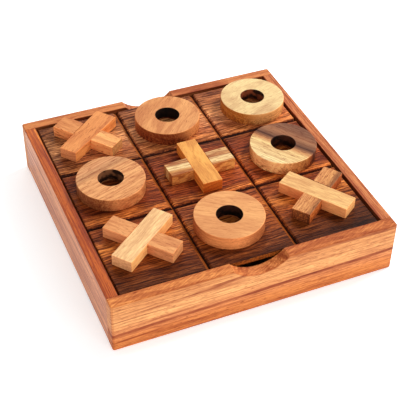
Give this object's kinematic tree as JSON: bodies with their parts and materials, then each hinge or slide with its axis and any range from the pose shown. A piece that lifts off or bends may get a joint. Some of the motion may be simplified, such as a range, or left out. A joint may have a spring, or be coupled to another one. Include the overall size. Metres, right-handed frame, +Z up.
{
  "type": "tic tac toe set",
  "caption": "Square wooden tray with a lift-out grooved playing board, finger notches, drilled ring pieces and half-lapped cross pieces, and storage under the board.",
  "frame": {"origin": "middle of the underside of the tray", "axes": "+X to the right along the front rail, +Y towards the back, +Z up out of the tray"},
  "size_m": [0.15, 0.15, 0.0359],
  "materials": {
    "tray_wood": "oiled orange-brown hardwood with dark streaks",
    "board_wood": "oiled dark red-brown heartwood with lighter bands",
    "inner_wood": "plain sanded light wood",
    "tan_wood": "sanded tan wood with fine grain",
    "pale_wood": "sanded pale sapwood",
    "two_tone_wood": "sanded wood, part pale sapwood and part dark heartwood",
    "orange_wood": "sanded orange-brown wood",
    "brown_wood": "sanded brown wood with dark streaks"
  },
  "bodies": {
    "tray": {"front_rail": "tray_wood", "back_rail": "tray_wood", "left_rail": "tray_wood", "right_rail": "tray_wood", "base_panel": "inner_wood", "left_ledge": "inner_wood", "right_ledge": "inner_wood"},
    "board": {"playing_board": "board_wood"},
    "ring_back_middle": {"ring_back_middle": "tan_wood"},
    "ring_back_right": {"ring_back_right": "pale_wood"},
    "ring_middle_left": {"ring_middle_left": "tan_wood"},
    "ring_middle_right": {"ring_middle_right": "two_tone_wood"},
    "ring_front_middle": {"ring_front_middle": "tan_wood"},
    "cross_back_left": {"cross_back_left_upper_bar": "orange_wood", "cross_back_left_lower_bar": "tan_wood"},
    "cross_centre": {"cross_centre_upper_bar": "orange_wood", "cross_centre_lower_bar": "two_tone_wood"},
    "cross_front_left": {"cross_front_left_upper_bar": "pale_wood", "cross_front_left_lower_bar": "tan_wood"},
    "cross_front_right": {"cross_front_right_upper_bar": "pale_wood", "cross_front_right_lower_bar": "brown_wood"}
  },
  "joints": [
    {"name": "board_lift", "type": "slide", "parent": "tray", "child": "board", "axis": [0, 0, 1], "range_m": [0, 0.06]},
    {"name": "ring_back_middle_lift", "type": "slide", "parent": "board", "child": "ring_back_middle", "axis": [0, 0, 1], "range_m": [0, 0.04]},
    {"name": "ring_back_right_lift", "type": "slide", "parent": "board", "child": "ring_back_right", "axis": [0, 0, 1], "range_m": [0, 0.04]},
    {"name": "ring_middle_left_lift", "type": "slide", "parent": "board", "child": "ring_middle_left", "axis": [0, 0, 1], "range_m": [0, 0.04]},
    {"name": "ring_middle_right_lift", "type": "slide", "parent": "board", "child": "ring_middle_right", "axis": [0, 0, 1], "range_m": [0, 0.04]},
    {"name": "ring_front_middle_lift", "type": "slide", "parent": "board", "child": "ring_front_middle", "axis": [0, 0, 1], "range_m": [0, 0.04]},
    {"name": "cross_back_left_lift", "type": "slide", "parent": "board", "child": "cross_back_left", "axis": [0, 0, 1], "range_m": [0, 0.04]},
    {"name": "cross_centre_lift", "type": "slide", "parent": "board", "child": "cross_centre", "axis": [0, 0, 1], "range_m": [0, 0.04]},
    {"name": "cross_front_left_lift", "type": "slide", "parent": "board", "child": "cross_front_left", "axis": [0, 0, 1], "range_m": [0, 0.04]},
    {"name": "cross_front_right_lift", "type": "slide", "parent": "board", "child": "cross_front_right", "axis": [0, 0, 1], "range_m": [0, 0.04]}
  ]
}
